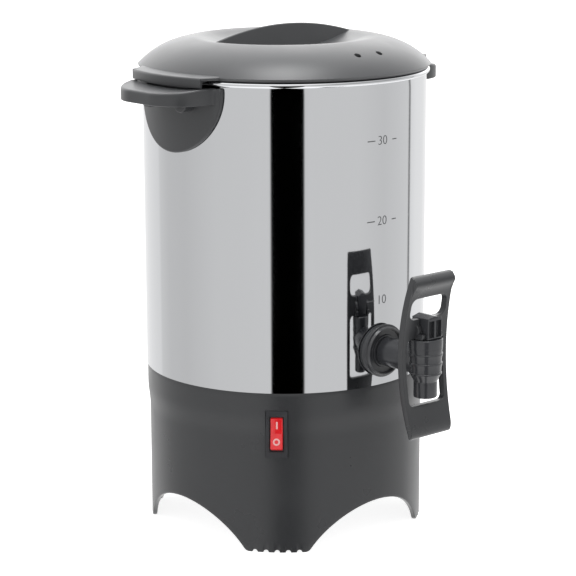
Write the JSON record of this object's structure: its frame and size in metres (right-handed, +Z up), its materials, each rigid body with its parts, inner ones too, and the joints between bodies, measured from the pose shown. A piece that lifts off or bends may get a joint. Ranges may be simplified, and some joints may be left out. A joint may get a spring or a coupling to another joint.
{
  "type": "coffee urn",
  "caption": "Percolator coffee urn: polished steel tank on a footed plastic skirt, domed lid with a finger ridge, side grips and a lever tap.",
  "frame": {"origin": "middle of the base on the table, under the tank's axis", "axes": "+Z up; the tap points to -Y; the two side grips lie along X"},
  "size_m": [0.253, 0.2509, 0.3475],
  "materials": {
    "base_plastic": "satin moulded",
    "lid_plastic": "satin moulded",
    "handle_plastic": "satin moulded",
    "tap_plastic": "semi-gloss moulded",
    "lever_plastic": "satin moulded",
    "black_plastic": "gloss moulded",
    "red_plastic": "gloss translucent look",
    "tank_steel": "mirror-polished stainless sheet",
    "basket_metal": "satin",
    "aluminium": "cast",
    "element_steel": "oxidised",
    "screw_steel": "zinc plated",
    "brass": "plain",
    "ceramic": "glazed ceramic",
    "nylon": "natural nylon",
    "silicone_grey": "soft",
    "silicone_clear": "soft translucent"
  },
  "bodies": {
    "base": {"base_skirt": "base_plastic", "bottom_cover": "base_plastic", "cover_screws": "screw_steel", "switch_housing": "black_plastic", "switch_terminals": "brass", "inlet_housing": "black_plastic", "inlet_pins": "screw_steel", "inlet_screws": "screw_steel", "tank": "tank_steel", "heat_plate": "aluminium", "heating_element": "element_steel", "element_bracket": "screw_steel", "stud_nuts": "screw_steel", "thermostat": "ceramic", "thermal_cutout": "ceramic", "terminal_block": "nylon", "handle_left": "handle_plastic", "handle_right": "handle_plastic", "handle_screws": "screw_steel", "handle_washers": "screw_steel", "tap_body": "tap_plastic", "tap_collar": "tap_plastic", "tap_gasket": "silicone_grey", "tap_inner_washer": "silicone_clear", "tap_backnut": "nylon", "tap_bonnet": "tap_plastic", "seat_cup": "silicone_clear", "tap_spring": "screw_steel", "pump_tube": "basket_metal", "coffee_basket": "basket_metal", "basket_lid": "basket_metal"},
    "lid": {"lid": "lid_plastic"},
    "stem": {"tap_stem": "tap_plastic", "lever_pin": "screw_steel"},
    "lever": {"tap_lever": "lever_plastic"},
    "rocker": {"switch_rocker": "red_plastic"},
    "valve": {"pump_valve": "basket_metal"}
  },
  "joints": [
    {"name": "lid_lift", "type": "slide", "parent": "base", "child": "lid", "axis": [0, 0, 1], "range_m": [0, 0.05]},
    {"name": "stem_lift", "type": "slide", "parent": "base", "child": "stem", "axis": [0, 0, 1], "range_m": [0, 0.0026], "stiffness_N_per_m": 8, "springref_m": -0.004, "deforming": ["tap_spring", "seat_cup"]},
    {"name": "lever_tilt", "type": "hinge", "parent": "stem", "child": "lever", "pos_m": [0, -0.137, 0.1575], "axis": [1, 0, 0], "range_deg": [0, 25]},
    {"name": "rocker_tilt", "type": "hinge", "parent": "base", "child": "rocker", "pos_m": [-0.06597, -0.06597, 0.0836], "axis": [0.7071, -0.7071, 0], "range_deg": [0, 18]},
    {"name": "valve_lift", "type": "slide", "parent": "base", "child": "valve", "axis": [0, 0, 1], "range_m": [0, 0.004]}
  ],
  "couplings": [
    {"joint": "stem_lift", "follows": "lever_tilt", "m_per_rad": 0.005958}
  ]
}
